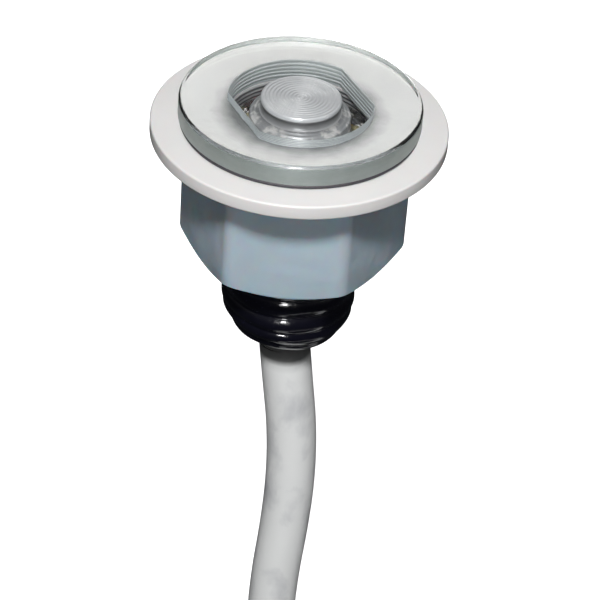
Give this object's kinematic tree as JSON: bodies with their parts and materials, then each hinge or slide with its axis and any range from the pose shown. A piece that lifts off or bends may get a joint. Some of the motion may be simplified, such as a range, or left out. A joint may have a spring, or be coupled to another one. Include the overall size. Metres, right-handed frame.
{
  "type": "underwater pool light",
  "caption": "Small round LED pool light: clear lens on a white flange, aluminium post, hexagonal lock nut on a threaded barrel, taped cable gland and grey supply lead.",
  "frame": {"origin": "Centre of the flange's back face, the plane that the pool wall comes to", "axes": "+Z out of the lens along the light's axis, -Z into the wall; +X and +Y across the flange, +X towards the side the coil lies on"},
  "size_m": [0.1338, 0.137, 0.2013],
  "materials": {
    "white_pc": "moulded white polycarbonate, smooth",
    "clear_pc": "clear moulded polycarbonate",
    "seal_rubber": "black silicone rubber",
    "turned_aluminium": "turned, fine rings",
    "black_board": "black solder mask",
    "green_board": "green solder mask",
    "led_white": "LED package",
    "led_phosphor": "silicone dome over phosphor",
    "clear_resin": "clear epoxy with small bubbles",
    "zinc_steel": "zinc plated",
    "nickel_brass": "nickel-plated brass",
    "black_parts": "black moulded package",
    "can_alu": "printed capacitor sleeve",
    "ferrite": "ferrite",
    "ceramic": "chip resistor",
    "red_pvc": "red insulation",
    "black_pvc": "black insulation",
    "brown_pvc": "brown insulation",
    "blue_pvc": "blue insulation",
    "earth_pvc": "green and yellow insulation",
    "grey_nylon": "grey nylon",
    "natural_nylon": "milky translucent nylon",
    "tape": "self-bonding black tape",
    "washer_plastic": "grey acetal",
    "grey_sheath": "grey flexible sheath",
    "tie_fabric": "black hook-and-loop strap",
    "tinned": "tinned copper ferrule"
  },
  "bodies": {
    "light": {"housing": "white_pc", "lens_seal": "seal_rubber", "lens": "clear_pc", "core_post": "turned_aluminium", "post_o_ring": "seal_rubber", "led_board": "black_board", "led_bases": "led_white", "led_domes": "led_phosphor", "board_screws": "zinc_steel", "standoffs": "nickel_brass", "driver_screws": "zinc_steel", "driver_board": "green_board", "bridge_rectifier": "black_parts", "smoothing_capacitor": "can_alu", "inductor": "ferrite", "driver_ic": "black_parts", "resistors": "ceramic", "led_wire_red": "red_pvc", "led_wire_black": "black_pvc", "clear_resin": "clear_resin", "gland_body": "grey_nylon", "gland_washer": "washer_plastic", "gland_locknut": "grey_nylon", "cable_seal": "seal_rubber", "gland_nut": "grey_nylon", "tape_wrap": "tape", "cable_inner": "grey_sheath", "core_brown": "brown_pvc", "core_blue": "blue_pvc", "core_earth": "earth_pvc", "wall_gasket": "seal_rubber", "cable_lead": "grey_sheath", "cable_coil": "grey_sheath", "cable_tail": "grey_sheath", "coil_ties": "tie_fabric", "tail_core_brown": "brown_pvc", "tail_core_blue": "blue_pvc", "tail_core_earth": "earth_pvc", "tail_ferrules": "tinned"},
    "washer": {"slip_washer": "washer_plastic"},
    "nut": {"lock_nut": "natural_nylon"}
  },
  "joints": [
    {"name": "nut_travel", "type": "slide", "parent": "light", "child": "washer", "axis": [0, 0, -1], "range_m": [0, 0.01301]},
    {"name": "nut_turn", "type": "hinge", "parent": "washer", "child": "nut", "pos_m": [0, 0, 0], "axis": [0, 0, -1], "range_deg": [0, 3120]}
  ],
  "couplings": [
    {"joint": "nut_travel", "follows": "nut_turn", "m_per_rad": 0.00023873}
  ]
}
